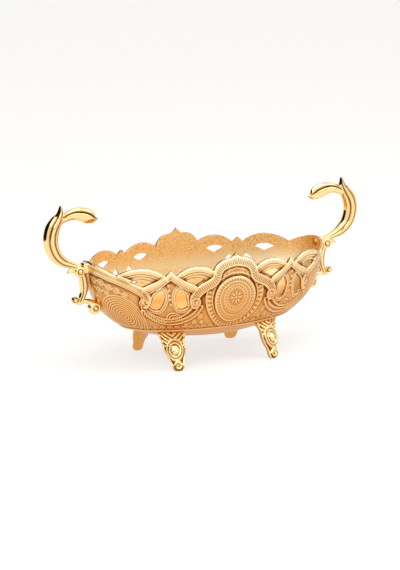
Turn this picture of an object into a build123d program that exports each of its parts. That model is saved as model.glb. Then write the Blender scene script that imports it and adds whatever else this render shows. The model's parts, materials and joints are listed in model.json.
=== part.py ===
from build123d import *
import math
import os

# Footed boat-shaped sweet dish in gilt cast metal, sizes in millimetres.
# The origin is on the ground under the middle of the bowl.
# +X runs along the bowl towards the right handle, -Y is the front, +Z is up.

# Bowl, an oval pierced casting
bowl_half_length = 110.2
bowl_half_width = 55.8
base_height = 24.2
shoulder_height = 88.0
base_half_length = 36.2
base_half_width = 27.4
end_fullness = 2.19
side_fullness = 3.75
wall = 2.0

# Scalloped rim, measured along the wall from the middle of a side
hood_apex_height = 100.6
hood_shoulder_height = 95.4
hood_half_width = 20.5
hood_valley_height = 86.3
arch_crown_height = 91.1
inner_arch_span = 32.1
spire_width = 8.9
spire_tip_height = 88.5
spire_valley_height = 84.1
outer_arch_span = 35.5
outer_valley_height = 84.6
end_crown_height = 92.8

# Pierced openings under the arches and in the gables
fan_width = 15.6
fan_height = 6.6
fan_crown_drop = 9.0
window_width = 9.5
window_height = 18.4
window_sill_height = 55.0
strut_width = 8.4

# Raised work on the outside
band_width = 6.0
hood_band_width = 8.0
end_band_width = 8.4
band_relief = 1.0
disc_relief = 2.0
disc_radius = 20.4
disc_height = 59.8
ring_radius = 28.4
ring_height = 61.0
volute_radius = 4.6
hood_volute_x = 36.4
hood_volute_height = 60.6
end_volute_x = 75.0
end_volute_height = 62.6
ridge_height = 33.4
ridge_width = 1.3

# Feet, four cast leaves that lean outwards from the bowl, faces turned to the corners
toe_x = 45.2
toe_y = 38.4
foot_turn = 20.0
foot_lean = 14.5
foot_screw_back = 14.4
calf_half_width = 9.8
calf_depth = 4.6
foot_edge = 0.8
foot_relief = 0.8
cabochon_half_width = 4.2
cabochon_half_height = 5.6
cabochon_height = 16.0
roundel_radius = 3.0
roundel_height = 4.8

# Handles, one casting at each end, drawn from the end of the bowl outwards
horn_reach = 33.2
horn_rise = 57.0
leaf_rise = 48.3
leaf_run = 37.3
stem_half_depth = 5.5
flute_depth = 0.14
rosette_out = 8.3
rosette_height = 85.5
rosette_radius = 4.6
rosette_half_depth = 4.6
eye_radius = 1.9
eye_proud = 0.8
ball_out = 12.2
ball_height = 61.4
ball_radius = 2.9
lobe_inset = 5.6
lobe_height = 52.8
lobe_radius = 5.6
lobe_half_depth = 4.0
tab_reach = 5.2
tab_half_depth = 4.2
tab_top = 92.0
tab_bottom = 83.6

# Machine screws that hold the feet and the handles from inside the bowl
screw_radius = 1.95
screw_head_radius = 3.5
screw_head_height = 1.9
screw_reach = 6.5
screw_clearance = 0.05
hole_clearance = 0.25
seat_depth = 0.35
driver_slot_width = 0.9
driver_slot_depth = 0.8
handle_screw_height = 87.4

gable_x = hood_half_width + inner_arch_span + spire_width / 2
outer_valley_x = hood_half_width + inner_arch_span + spire_width + outer_arch_span
outer_valley_y = bowl_half_width * math.sqrt(1 - (outer_valley_x / bowl_half_length) ** 2)
clear_above = hood_apex_height + 10
trim = 2.0
clear_out = bowl_half_length + 20
eaves_height = arch_crown_height - fan_crown_drop - fan_height


def half_length(z):
    """Half length of the outside of the wall at height z, a superellipse up to the shoulder."""
    t = min(max((z - base_height) / (shoulder_height - base_height), 0), 1)
    rise = (1 - (1 - t) ** end_fullness) ** (1 / end_fullness)
    return base_half_length + (bowl_half_length - base_half_length) * rise


def half_width(z):
    """Half width of the outside of the wall at height z."""
    t = min(max((z - base_height) / (shoulder_height - base_height), 0), 1)
    return base_half_width + (bowl_half_width - base_half_width) * (1 - (1 - t) ** side_fullness)


def slope(profile, z):
    """How fast a half size of the bowl grows with height."""
    step = 0.01
    return (profile(z + step) - profile(z)) / step


def inside(profile, z):
    """Half size of the inside at height z, one wall in from the outside along its normal."""
    low = base_height
    high = z
    for _ in range(40):
        middle = (low + high) / 2
        lean = slope(profile, middle)
        if middle + wall * lean / math.hypot(1, lean) < z:
            low = middle
        else:
            high = middle
    return profile(low) - wall / math.hypot(1, slope(profile, low))


def bowl_form(grow):
    """The solid outer form of the bowl, with its wall moved out by grow."""
    levels = [0, 0.005, 0.025, 0.07, 0.14, 0.25, 0.42, 0.66, 1]
    heights = [base_height + level * (shoulder_height - base_height) for level in levels]
    sections = []
    for z in heights + [clear_above]:
        oval = Ellipse(half_length(z) + grow, half_width(z) + grow)
        sections.append(Plane.XY.offset(z) * oval)
    return loft(sections)


def bowl_hollow():
    """The space inside the bowl, with a flat floor."""
    floor = base_height + wall
    levels = [0.004, 0.02, 0.06, 0.13, 0.25, 0.42, 0.66, 1]
    sections = []
    for level in levels:
        z = floor + level * (shoulder_height - floor)
        oval = Ellipse(inside(half_length, z), inside(half_width, z))
        sections.append(Plane.XY.offset(z) * oval)
    top = Ellipse(bowl_half_length - wall, bowl_half_width - wall)
    sections.append(Plane.XY.offset(clear_above + 1) * top)
    return loft(sections)


def through_sides(sketch):
    """A prism of a sketch in X and Z, through the front and the rear wall."""
    return extrude(Plane.XZ * sketch, bowl_half_width + 10, both=True)


def both_ways(sketch):
    """A sketch and its mirror image about the middle of the bowl."""
    return sketch + mirror(sketch, Plane.YZ)


def ribbon(points, width):
    """A flat band of one width that follows a smooth line through the points."""
    line = Spline(*points)
    count = 4 * len(points)
    left = []
    right = []
    for i in range(count + 1):
        place = line @ (i / count)
        along = line % (i / count)
        side = Vector(-along.Y, along.X) * (width / 2)
        left.append(place + side)
        right.append(place - side)
    edges = [Spline(*left), Line(left[-1], right[-1]), Spline(*right), Line(right[0], left[0])]
    return make_face(edges)


def arc_points(start, crown, end, drop):
    """Three points of an arch, moved down by drop."""
    return [(x, z - drop) for x, z in (start, crown, end)]


def rim_outline():
    """The rim of the front right quarter in X and Z, from the hood's apex to the end valley."""
    shoulder = (0.32 * hood_half_width, hood_shoulder_height)
    hood_side = (0.72 * hood_half_width, hood_shoulder_height - 1.6)
    valley = (hood_half_width, hood_valley_height)
    arch_end = hood_half_width + inner_arch_span
    spire_left = (arch_end, spire_valley_height)
    spire_right = (arch_end + spire_width, spire_valley_height)
    end = (outer_valley_x, outer_valley_height)
    neck = (0.1 * hood_half_width, (hood_apex_height + hood_shoulder_height) / 2 + 0.2)
    return [
        ThreePointArc((0, hood_apex_height), neck, shoulder),
        ThreePointArc(shoulder, hood_side, valley),
        ThreePointArc(valley, ((valley[0] + arch_end) / 2, arch_crown_height), spire_left),
        Line(spire_left, (gable_x, spire_tip_height)),
        Line((gable_x, spire_tip_height), spire_right),
        ThreePointArc(spire_right, ((spire_right[0] + end[0]) / 2, arch_crown_height), end),
    ]


def above_sides():
    """Everything over the rim of both sides, between the two end valleys."""
    end = (outer_valley_x, outer_valley_height)
    corner = (outer_valley_x, clear_above)
    top = [Line(end, corner), Line(corner, (0, clear_above)), Line((0, clear_above), (0, hood_apex_height))]
    half = make_face(rim_outline() + top)
    return through_sides(both_ways(half))


def above_ends():
    """Everything over the rim of the two ends, outside the end valleys."""
    valley = (outer_valley_y, outer_valley_height)
    left = (-outer_valley_y, outer_valley_height)
    crown = ThreePointArc(left, (0, end_crown_height), valley)
    outside = outer_valley_y + 12
    frame = Polyline(
        valley,
        (outside, outer_valley_height),
        (outside, clear_above),
        (-outside, clear_above),
        (-outside, outer_valley_height),
        left,
    )
    face = make_face([crown] + frame.edges())
    block = extrude(Plane.YZ.offset(outer_valley_x) * face, clear_out - outer_valley_x)
    return block + mirror(block, Plane.YZ)


def fan_opening(centre):
    """A small fan with its point down, under the crown of an arch."""
    top = arch_crown_height - fan_crown_drop
    corner_height = top - 0.38 * fan_height
    left = (centre - fan_width / 2, corner_height)
    right = (centre + fan_width / 2, corner_height)
    point = (centre, top - fan_height)
    crown = ThreePointArc(left, (centre, top), right)
    return make_face([crown, Line(right, point), Line(point, left)])


def gable_window(side):
    """One of the two windows beside the waisted strut of a gable."""
    top = window_sill_height + window_height
    middle = window_sill_height + window_height / 2
    near = gable_x + side * strut_width / 2
    points = [
        (near + side * 2.8, top),
        (near + side * 0.2, top - 5.0),
        (near + side * 0.6, middle - 2.2),
        (near + side * 4.2, window_sill_height),
        (near + side * (window_width + 0.9), window_sill_height + 2.0),
        (near + side * window_width, middle - 1.0),
        (near + side * (window_width - 0.8), middle + 3.4),
    ]
    return make_face(Spline(*points, periodic=True))


def openings():
    """The fans and the gable windows, through both sides."""
    inner_fan = fan_opening(hood_half_width + inner_arch_span / 2)
    outer_fan = fan_opening(outer_valley_x - outer_arch_span / 2)
    pierced = inner_fan + outer_fan + gable_window(-1) + gable_window(1)
    return through_sides(both_ways(pierced))


def hood_band():
    """The raised band of the hood, which swings out into a volute on each side."""
    half = hood_band_width / 2
    right = [
        (0.6 * hood_half_width, hood_shoulder_height - half - 2.2),
        (hood_half_width - half + 0.6, hood_valley_height - 1.5),
        (hood_half_width - half + 2.2, hood_valley_height - 8.5),
        (hood_volute_x - 9.0, hood_volute_height + 12.2),
        (hood_volute_x - 1.8, hood_volute_height + 6.6),
        (hood_volute_x, hood_volute_height),
    ]
    left = [(-x, z) for x, z in reversed(right)]
    return ribbon(left + [(0, hood_apex_height - half - 3.4)] + right, hood_band_width)


def arch_band(start, end):
    """The raised band along the crown of an arch, which the cut of the rim trims to its width."""
    middle = ((start[0] + end[0]) / 2, arch_crown_height)
    centre_line = arc_points(start, middle, end, (band_width - trim) / 2)
    return ribbon(centre_line, band_width + trim)


def gable_frame():
    """The roof bands of a gable, which meet under the spire."""
    eaves = hood_half_width + inner_arch_span / 2
    reach = gable_x - eaves
    top = (gable_x, spire_tip_height - band_width / 2)
    right = Line(top, (gable_x + reach, eaves_height - band_width / 2))
    left = Line(top, (gable_x - reach, eaves_height - band_width / 2))
    bands = []
    for line in (left, right):
        start = line @ 0
        finish = line @ 1
        side = Vector(0, band_width / 2)
        corners = [start + side, finish + side, finish - side, start - side]
        bands.append(make_face(Polyline(*corners, close=True).edges()))
    return bands[0] + bands[1]


def end_band():
    """The raised band that falls from the end of the rim to the outer volute."""
    return ribbon(
        [
            (outer_valley_x + 1.5, outer_valley_height - end_band_width / 2 + 1.0),
            (outer_valley_x - 8.0, outer_valley_height - end_band_width / 2 - 2.0),
            (end_volute_x + 7.5, end_volute_height + 12.0),
            (end_volute_x + 1.6, end_volute_height + 7.4),
            (end_volute_x, end_volute_height),
        ],
        end_band_width - trim / 2,
    )


def side_relief():
    """All flat raised bands of the sides."""
    arch_end = hood_half_width + inner_arch_span
    inner = arch_band((hood_half_width, hood_valley_height), (arch_end, spire_valley_height))
    outer_start = (arch_end + spire_width, spire_valley_height)
    outer = arch_band(outer_start, (outer_valley_x, outer_valley_height))
    volutes = Pos(hood_volute_x, hood_volute_height) * Circle(volute_radius)
    volutes += Pos(end_volute_x, end_volute_height) * Circle(volute_radius)
    half = inner + outer + gable_frame() + end_band() + volutes
    ring = Pos(0, ring_height) * Circle(ring_radius)
    ridge = Pos(0, ridge_height) * Rectangle(2 * clear_out, ridge_width)
    return through_sides(both_ways(half) + hood_band() + ring + ridge)


def end_relief():
    """The raised band along the rim of each end."""
    valley = (outer_valley_y, outer_valley_height)
    left = (-outer_valley_y, outer_valley_height)
    rim = [left, (0, end_crown_height), valley]
    high = [(y, z + trim) for y, z in rim]
    low = [(y, z - end_band_width) for y, z in rim]
    ends = [Line(high[2], low[2]), Line(low[0], high[0])]
    face = make_face([ThreePointArc(*high), ThreePointArc(*low)] + ends)
    block = extrude(Plane.YZ.offset(outer_valley_x) * face, clear_out - outer_valley_x)
    return block + mirror(block, Plane.YZ)


def wall_height(x, y):
    """Height at which the outside of the wall passes through a plan position."""
    low = base_height
    high = clear_above
    for _ in range(50):
        middle = (low + high) / 2
        if (x / half_length(middle)) ** 2 + (y / half_width(middle)) ** 2 > 1:
            low = middle
        else:
            high = middle
    return low


def wall_plane(x, y, z):
    """A plane that touches the outside of the wall, with its normal outwards."""
    a = half_length(z)
    b = half_width(z)
    fall = x * x * slope(half_length, z) / a**3 + y * y * slope(half_width, z) / b**3
    normal = Vector(x / a**2, y / b**2, -fall)
    return Plane(origin=(x, y, z), x_dir=Vector(-y / b**2, x / a**2, 0), z_dir=normal)


def foot_screw_plane():
    """Where the front right foot's screw passes through the wall."""
    x = toe_x
    y = foot_screw_back - toe_y
    return wall_plane(x, y, wall_height(x, y))


def upper_screw_plane():
    """Where the right handle's upper screw passes through the end of the bowl."""
    return wall_plane(half_length(handle_screw_height), 0, handle_screw_height)


def lower_screw_plane():
    """Where the right handle's lower screw passes through the wall into the lobe."""
    return wall_plane(half_length(lobe_height), 0, lobe_height)


def shank(radius, low, high):
    """A round bar along the normal of a wall plane, from low to high."""
    return Pos(0, 0, (low + high) / 2) * Cylinder(radius, high - low)


def screw():
    """A screw with a domed slotted head inside the wall, and its shank outwards."""
    seat = -(wall - seat_depth)
    bar = shank(screw_radius, seat, screw_reach)
    head = shank(screw_head_radius, seat - screw_head_height, seat)
    rim = head.edges().filter_by(GeomType.CIRCLE).sort_by(Axis.Z)[0]
    head = fillet(rim, screw_head_height * 0.6)
    slot_place = seat - screw_head_height + driver_slot_depth / 2
    slot = Pos(0, 0, slot_place) * Box(2 * screw_head_radius, driver_slot_width, driver_slot_depth)
    return bar + head - slot


def screw_room():
    """The hole for a screw in the wall and the flat seat for its head."""
    hole = shank(screw_radius + hole_clearance, -2 * wall, wall + 2 * band_relief)
    seat = shank(screw_head_radius + hole_clearance, -3 * wall, -(wall - seat_depth))
    return hole + seat


def tapped_room():
    """The threaded hole for a screw in what it holds."""
    return shank(screw_radius + screw_clearance, -wall, screw_reach + 2 * hole_clearance)


def foot_section(up, back, wide, front, rear, grow):
    """A level cross-section of a foot, each argument but grow a share of a driving dimension."""
    half = wide * calf_half_width
    front_arc = ThreePointArc((-half, foot_edge), (0, front * calf_depth + grow), (half, foot_edge))
    rear_arc = ThreePointArc((half, -foot_edge), (0, -rear * calf_depth), (-half, -foot_edge))
    right = Line((half, foot_edge), (half, -foot_edge))
    left = Line((-half, -foot_edge), (-half, foot_edge))
    place = Pos(toe_x, back * foot_lean - toe_y, up * base_height) * Rot(0, 0, 180 + foot_turn)
    return place * make_face([front_arc, right, rear_arc, left])


def foot_form(grow):
    """The front right foot from toe to top, with its face moved out by grow."""
    sections = [
        foot_section(0, 0, 0.27, 0.46, 0.41, grow),
        foot_section(0.03, 0.01, 0.41, 0.63, 0.5, grow),
        foot_section(0.11, 0.03, 0.53, 0.74, 0.54, grow),
        foot_section(0.21, 0.08, 0.57, 0.72, 0.54, grow),
        foot_section(0.34, 0.18, 0.64, 0.65, 0.52, grow),
        foot_section(0.52, 0.35, 0.84, 0.84, 0.52, grow),
        foot_section(0.68, 0.49, 0.96, 1.0, 0.58, grow),
        foot_section(0.81, 0.6, 1.0, 0.98, 0.75, grow),
        foot_section(0.93, 0.7, 0.99, 0.9, 1.15, grow),
        foot_section(1.07, 0.83, 1.07, 0.86, 1.95, grow),
        foot_section(1.22, 0.98, 1.24, 0.9, 2.7, grow),
        foot_section(1.42, 1.12, 1.2, 0.5, 2.6, grow),
    ]
    return loft(sections)


def foot_mark(outline, height):
    """A prism of an outline over the face of the front right foot, its middle at a height."""
    side_step = foot_lean * math.sin(math.radians(foot_turn)) * height / (1.2 * base_height)
    turned = Pos(toe_x, -toe_y, 0) * Rot(0, 0, 180 + foot_turn)
    face = Plane.XZ * (Pos(-side_step, height) * outline)
    return turned * extrude(face, 4 * calf_depth, both=True)


def foot_blank():
    """The front right foot before it is cut to fit the bowl."""
    oval = foot_mark(Ellipse(cabochon_half_width, cabochon_half_height), cabochon_height)
    roundel = foot_mark(Circle(roundel_radius), roundel_height)
    return foot_form(0) + (foot_form(foot_relief) & (oval + roundel))


def section(place, along, half_in, half_deep, flutes):
    """A cross-section of a limb, an ellipse with or without shallow flutes."""
    tangent = Vector(along[0], 0, along[1])
    plane = Plane(origin=(place[0], 0, place[1]), x_dir=Vector(tangent.Z, 0, -tangent.X), z_dir=tangent)
    count = 24
    points = []
    for i in range(count):
        turn = 2 * math.pi * i / count
        ripple = 1 - flutes * (0.5 - 0.5 * math.cos(6 * turn))
        points.append((half_in * ripple * math.cos(turn), half_deep * ripple * math.sin(turn)))
    return plane * make_face(Spline(*points, periodic=True))


def limb(stations, flutes=0.0):
    """A cast limb in the plane of a handle, through stations of place and half sizes."""
    sections = []
    last = len(stations) - 1
    for i, (x, z, half_in, half_deep) in enumerate(stations):
        before = stations[max(i - 1, 0)]
        after = stations[min(i + 1, last)]
        along = (after[0] - before[0], after[1] - before[1])
        sections.append(section((x, z), along, half_in, half_deep, flutes))
    return loft(sections)


def handle_blank():
    """A handle at the right end, before it is cut to fit the bowl."""
    end = bowl_half_length
    deep = stem_half_depth
    rosette_x = end + rosette_out

    def horn(out, up, half_in, half_deep):
        return end + out * horn_reach, rosette_height + up * horn_rise, half_in, half_deep * deep

    def blade(back, up, half_in, half_deep):
        return end + 27.5 - back * leaf_run, rosette_height + up * leaf_rise, half_in, half_deep

    stem = limb(
        [
            horn(0.22, 0.05, 2.3, 0.55),
            horn(0.35, 0.086, 2.7, 0.62),
            horn(0.49, 0.118, 3.3, 0.72),
            horn(0.69, 0.17, 4.7, 0.86),
            horn(0.873, 0.27, 5.7, 0.95),
            horn(0.982, 0.412, 6.3, 1.0),
            horn(1.0, 0.546, 6.5, 1.0),
            horn(0.946, 0.672, 6.3, 1.0),
            horn(0.831, 0.784, 5.2, 0.86),
            horn(0.747, 0.886, 3.6, 0.6),
            horn(0.72, 1.0, 1.7, 0.3),
        ],
        flute_depth,
    )
    leaf = limb(
        [
            blade(0.0, 0.86, 2.2, 2.8),
            blade(0.174, 0.95, 3.4, 3.4),
            blade(0.367, 1.0, 4.5, 4.2),
            blade(0.555, 0.996, 5.6, 4.7),
            blade(0.748, 0.946, 6.2, 4.3),
            blade(0.887, 0.9, 4.2, 2.9),
            blade(1.0, 0.886, 0.6, 0.6),
        ]
    )
    spur = limb(
        [
            (rosette_x + 0.6, rosette_height + 3.2, 3.6, 3.4),
            (rosette_x + 5.6, rosette_height + 1.7, 2.9, 2.6),
            (rosette_x + 9.0, rosette_height + 0.2, 1.4, 1.4),
            (rosette_x + 10.6, rosette_height - 0.9, 0.5, 0.5),
        ]
    )
    lower_stem = limb(
        [
            (rosette_x - 2.4, rosette_height - 1.5, 3.8, 3.9),
            (rosette_x - 4.3, rosette_height - 8.5, 4.1, 3.9),
            (rosette_x - 4.7, rosette_height - 14.5, 3.9, 3.8),
            (rosette_x - 3.7, rosette_height - 19.8, 3.2, 3.5),
            (rosette_x - 1.5, ball_height - 1.0, 2.4, 3.0),
            (rosette_x + 0.6, ball_height - 3.6, 1.9, 2.6),
        ],
        flute_depth,
    )
    curl = limb(
        [
            (rosette_x - 1.0, ball_height - 2.4, 1.7, 2.4),
            (rosette_x + 1.4, ball_height - 3.6, 1.5, 2.2),
            (end + ball_out - 1.0, ball_height - 1.8, 1.3, 2.0),
        ]
    )
    lobe_x = end - lobe_inset
    arm = limb(
        [
            (rosette_x + 0.4, ball_height - 3.4, 1.7, 2.5),
            (end + 3.4, lobe_height + 6.8, 1.9, 2.7),
            (end - 1.2, lobe_height + 5.8, 2.6, 3.0),
            (lobe_x + 1.0, lobe_height + 2.8, 3.4, 3.2),
        ]
    )
    turned = Rot(90, 0, 0)
    rosette = Pos(rosette_x, 0, rosette_height) * turned * Cylinder(rosette_radius, 2 * rosette_half_depth)
    rosette_eye = Pos(rosette_x, 0, rosette_height) * turned * Cylinder(
        eye_radius, 2 * (rosette_half_depth + eye_proud)
    )
    lobe = Pos(lobe_x, 0, lobe_height) * turned * Cylinder(lobe_radius, 2 * lobe_half_depth)
    lobe_eye = Pos(lobe_x, 0, lobe_height) * turned * Cylinder(eye_radius, 2 * (lobe_half_depth + eye_proud))
    ball = Pos(end + ball_out, 0, ball_height) * Sphere(ball_radius)
    tab_inner = end - 3
    tab_outer = end + tab_reach
    tab = Pos((tab_inner + tab_outer) / 2, 0, (tab_top + tab_bottom) / 2) * Box(
        tab_outer - tab_inner, 2 * tab_half_depth, tab_top - tab_bottom
    )
    handle = stem + leaf + spur + rosette + rosette_eye + tab
    return handle + lower_stem + curl + ball + arm + lobe + lobe_eye


def at_corners(shape):
    """A shape at the front right corner and its images at the other three, by corner."""
    return {
        "front_left": mirror(shape, Plane.YZ),
        "front_right": shape,
        "rear_left": Rot(0, 0, 180) * shape,
        "rear_right": mirror(shape, Plane.XZ),
    }


def at_ends(shape):
    """A shape at the right end and its image at the left end, by end."""
    return {"left": Rot(0, 0, 180) * shape, "right": shape}


# Bowl with its raised work, before it is hollowed
solid_bowl = bowl_form(0)
solid_bowl += side_relief() & bowl_form(band_relief)
solid_bowl += end_relief() & bowl_form(band_relief)
disc = through_sides(Pos(0, disc_height) * Circle(disc_radius))
solid_bowl += disc & bowl_form(disc_relief)

bowl = solid_bowl - bowl_hollow() - above_sides() - above_ends() - openings()

# Each foot is cut to the underside of the bowl and drilled for its screw
foot_place = Location(foot_screw_plane())
foot = (foot_blank() - solid_bowl).solids().sort_by(Axis.Z)[0]
foot -= foot_place * tapped_room()
parts = {f"{corner}_foot": part for corner, part in at_corners(foot).items()}
foot_screws = list(at_corners(foot_place * screw()).values())
for room in at_corners(foot_place * screw_room()).values():
    bowl -= room

# Each handle is cut to the end of the bowl and drilled for its two screws
handle = (handle_blank() - solid_bowl).solids().sort_by(SortBy.VOLUME)[-1]
handle_screws = []
for plane in (upper_screw_plane(), lower_screw_plane()):
    handle_place = Location(plane)
    handle -= handle_place * tapped_room()
    handle_screws += at_ends(handle_place * screw()).values()
    for room in at_ends(handle_place * screw_room()).values():
        bowl -= room
parts |= {f"{end}_handle": part for end, part in at_ends(handle).items()}

parts["bowl"] = bowl
parts["foot_screws"] = Compound(children=foot_screws)
parts["handle_screws"] = Compound(children=handle_screws)

os.makedirs("parts", exist_ok=True)
for name, part in parts.items():
    export_step(part, f"parts/{name}.step")
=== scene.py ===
import json
import math

import bpy
import numpy as np
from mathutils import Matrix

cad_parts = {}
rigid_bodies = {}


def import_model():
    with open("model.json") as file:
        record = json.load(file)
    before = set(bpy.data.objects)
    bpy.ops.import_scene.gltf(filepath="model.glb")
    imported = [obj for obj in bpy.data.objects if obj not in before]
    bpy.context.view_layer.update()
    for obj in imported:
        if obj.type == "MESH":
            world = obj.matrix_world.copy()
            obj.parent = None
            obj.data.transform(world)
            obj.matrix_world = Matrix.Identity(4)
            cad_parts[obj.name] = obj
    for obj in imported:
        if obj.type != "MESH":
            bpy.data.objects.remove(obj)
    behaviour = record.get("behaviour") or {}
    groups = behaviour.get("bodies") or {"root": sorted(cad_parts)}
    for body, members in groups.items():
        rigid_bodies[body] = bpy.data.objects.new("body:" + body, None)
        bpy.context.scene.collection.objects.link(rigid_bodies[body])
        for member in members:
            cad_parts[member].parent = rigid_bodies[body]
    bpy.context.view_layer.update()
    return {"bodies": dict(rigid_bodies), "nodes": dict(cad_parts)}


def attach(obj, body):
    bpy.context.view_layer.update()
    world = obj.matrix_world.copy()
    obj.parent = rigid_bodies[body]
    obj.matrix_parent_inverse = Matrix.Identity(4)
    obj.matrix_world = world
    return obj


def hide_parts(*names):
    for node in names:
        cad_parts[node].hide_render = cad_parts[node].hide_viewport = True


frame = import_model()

body = next(iter(frame["bodies"]))

# Bowl, its wall. A boat-shaped casting in zinc alloy, pierced and worked in relief by the mould,
# then plated with rose gold. The wall is 2 mm thick and stands on an oval base. Lengths here are
# in millimetres, and a place on the wall is its run along the rim's oval and its height.
MM = 0.001
TURN = 2 * math.pi
bowl_half_length = 110.2
bowl_half_width = 55.8
base_height = 24.2
shoulder_height = 88.0
base_half_length = 36.2
base_half_width = 27.4
end_fullness = 2.19
side_fullness = 3.75
wall = 2.0
ridge_height = 33.4
hood_apex_height = 100.6
hood_shoulder_height = 95.4
hood_half_width = 20.5
hood_valley_height = 86.3
arch_crown_height = 91.1
inner_arch_end = 52.6
outer_arch_start = 61.5
spire_tip = (57.05, 88.5)
spire_valley_height = 84.1
outer_valley = (97.0, 84.6)
end_crown_height = 92.8
cell = 0.62


def half_length(z):
    """Half length of the wall's outside: a superellipse from the base up to the shoulder."""
    t = np.clip((z - base_height) / (shoulder_height - base_height), 0, 1)
    rise = (1 - (1 - t) ** end_fullness) ** (1 / end_fullness)
    return base_half_length + (bowl_half_length - base_half_length) * rise


def half_width(z):
    """Half width of the wall's outside: one minus a power of what is left to the shoulder."""
    t = np.clip((z - base_height) / (shoulder_height - base_height), 0, 1)
    return base_half_width + (bowl_half_width - base_half_width) * (1 - (1 - t) ** side_fullness)


def wall_surface(turn, z):
    """Place and outward normal on the wall: x is the half length times the sine of the turn,
    y is minus the half width times its cosine, and the normal is the gradient of
    (x / half length) squared plus (y / half width) squared."""
    step = 0.02
    a, b = half_length(z), half_width(z)
    grow_a = (half_length(z + step) - half_length(z - step)) / (2 * step)
    grow_b = (half_width(z + step) - half_width(z - step)) / (2 * step)
    x, y = a * np.sin(turn), -b * np.cos(turn)
    place = np.stack(np.broadcast_arrays(x, y, z), axis=-1)
    tilt = -(x**2 * grow_a / a**3 + y**2 * grow_b / b**3)
    normal = np.stack(np.broadcast_arrays(x / a**2, y / b**2, tilt), axis=-1)
    return place, normal / np.linalg.norm(normal, axis=-1, keepdims=True)


def around(count):
    """Evenly spaced angles of one full turn."""
    return np.linspace(0, TURN, count, endpoint=False)


turn_table = np.linspace(0, math.pi / 2, 4001)
run_steps = np.hypot(
    np.diff(bowl_half_length * np.sin(turn_table)), np.diff(bowl_half_width * np.cos(turn_table))
)
run_table = np.concatenate([[0], np.cumsum(run_steps)])
quarter_run = run_table[-1]


def run_of_x(x, z):
    """Run along the rim's oval of a place on a side, from the middle of that side."""
    turn = np.arcsin(np.clip(np.abs(x) / half_length(z), 0, 1))
    return np.sign(x) * np.interp(turn, turn_table, run_table)


def run_of_y(y, z):
    """Run along the rim's oval of a place on an end, from the middle of a side."""
    turn = np.arccos(np.clip(np.abs(y) / half_width(z), 0, 1))
    return np.interp(turn, turn_table, run_table)


def unroll(points):
    """Places on a side, given as x and height, as run and height."""
    x, z = np.array(points, float).T
    return np.column_stack([run_of_x(x, z), z])


def arc(start, middle, end, count=24):
    """Points on the circle through three points: the centre is where the perpendicular
    bisectors meet, and the angle runs evenly from the first point to the last."""
    (ax, ay), (bx, by), (cx, cy) = start, middle, end
    d = 2 * (ax * (by - cy) + bx * (cy - ay) + cx * (ay - by))
    sa, sb, sc = ax * ax + ay * ay, bx * bx + by * by, cx * cx + cy * cy
    ux = (sa * (by - cy) + sb * (cy - ay) + sc * (ay - by)) / d
    uy = (sa * (cx - bx) + sb * (ax - cx) + sc * (bx - ax)) / d
    first, mid, last = (math.atan2(y - uy, x - ux) for x, y in (start, middle, end))
    sweep = (last - first) % (TURN)
    if (mid - first) % (TURN) > sweep:
        sweep -= TURN
    angles = first + sweep * np.linspace(0, 1, count)
    radius = math.hypot(ax - ux, ay - uy)
    return np.column_stack([ux + radius * np.cos(angles), uy + radius * np.sin(angles)])


def smooth_line(points, count=60):
    """A smooth line through points: a Catmull-Rom curve, whose tangent at each point is half
    the way from the point before to the point after."""
    p = np.array(points, float)
    p = np.vstack([2 * p[0] - p[1], p, 2 * p[-1] - p[-2]])
    u = np.linspace(0, len(points) - 1, count)
    i = np.minimum(u.astype(int), len(points) - 2)
    t = (u - i)[:, None]
    a, b, c, d = p[i], p[i + 1], p[i + 2], p[i + 3]
    bend, twist = 2 * a - 5 * b + 4 * c - d, 3 * b - a - 3 * c + d
    return 0.5 * (2 * b + (c - a) * t + bend * t**2 + twist * t**3)


hood_shoulder = (0.32 * hood_half_width, hood_shoulder_height)
hood_neck = (0.1 * hood_half_width, (hood_apex_height + hood_shoulder_height) / 2 + 0.2)
hood_valley = (hood_half_width, hood_valley_height)
inner_crown = ((hood_half_width + inner_arch_end) / 2, arch_crown_height)
outer_crown = ((outer_arch_start + outer_valley[0]) / 2, arch_crown_height)
outer_valley_y = bowl_half_width * math.sqrt(1 - (outer_valley[0] / bowl_half_length) ** 2)
side_rim = np.vstack([
    arc((0, hood_apex_height), hood_neck, hood_shoulder),
    arc(hood_shoulder, (0.72 * hood_half_width, hood_shoulder_height - 1.6), hood_valley),
    arc(hood_valley, inner_crown, (inner_arch_end, spire_valley_height)),
    [spire_tip],
    arc((outer_arch_start, spire_valley_height), outer_crown, outer_valley),
])
end_corners = [(side * outer_valley_y, outer_valley[1]) for side in (1, -1)]
end_rim = arc(end_corners[0], (0, end_crown_height), end_corners[1], 49)[:25]
rim_run = np.concatenate([run_of_x(*side_rim.T), run_of_y(*end_rim.T)])
rim_height = np.concatenate([side_rim[:, 1], end_rim[:, 1]])

# The quarter grid of the wall, from the middle of a side to the middle of an end and from the
# ridge line up past the rim, with rows evenly spaced along the wall's profile.
columns = int(round(quarter_run / cell))
quarter_turns = np.interp(np.linspace(0, quarter_run, columns + 1), run_table, turn_table)
profile_z = np.linspace(ridge_height, hood_apex_height + 0.8, 2000)
profile_out = np.diff(half_length(profile_z)) + np.diff(half_width(profile_z))
profile_steps = np.hypot(np.diff(profile_z), profile_out / 2)
profile_run = np.concatenate([[0], np.cumsum(profile_steps)])
rows = int(round(profile_run[-1] / cell))
row_z = np.interp(np.linspace(0, profile_run[-1], rows + 1), profile_run, profile_z)
RUN, HEIGHT = np.meshgrid(np.linspace(0, quarter_run, columns + 1), row_z)


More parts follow.
